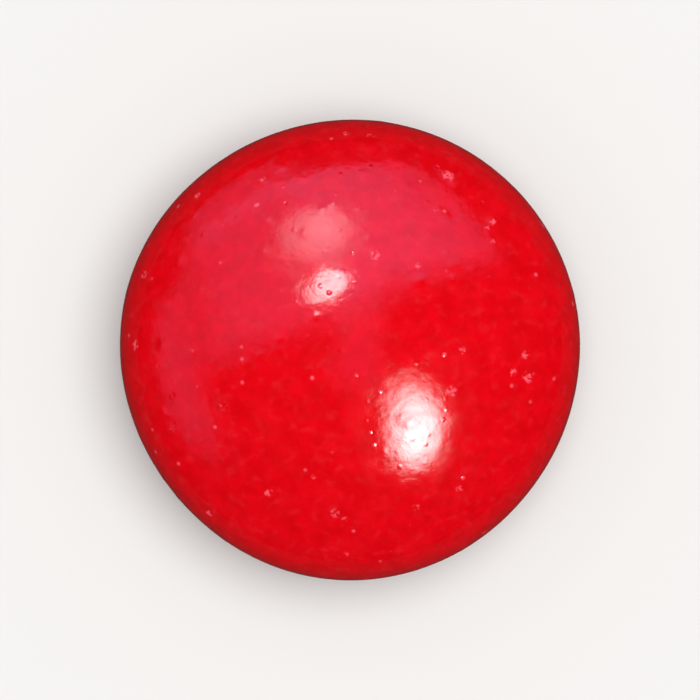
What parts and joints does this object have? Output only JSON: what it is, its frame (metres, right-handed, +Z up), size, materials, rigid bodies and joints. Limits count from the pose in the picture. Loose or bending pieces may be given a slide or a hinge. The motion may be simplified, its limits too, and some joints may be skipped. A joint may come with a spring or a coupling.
{
  "type": "candy coated chocolate",
  "caption": "Lens-shaped chocolate sweet in a glossy red sugar shell, lying flat on one face.",
  "frame": {"origin": "under the middle of the candy, on the surface that it lies on", "axes": "+Z up through the middle of both faces, across the candy's thickness; +X and +Y across its round outline"},
  "size_m": [0.0136, 0.0136, 0.007],
  "materials": {
    "shell": "glossy polished sugar shell, slightly uneven, with tiny paler specks"
  },
  "bodies": {
    "root": {"candy": "shell"}
  },
  "joints": []
}
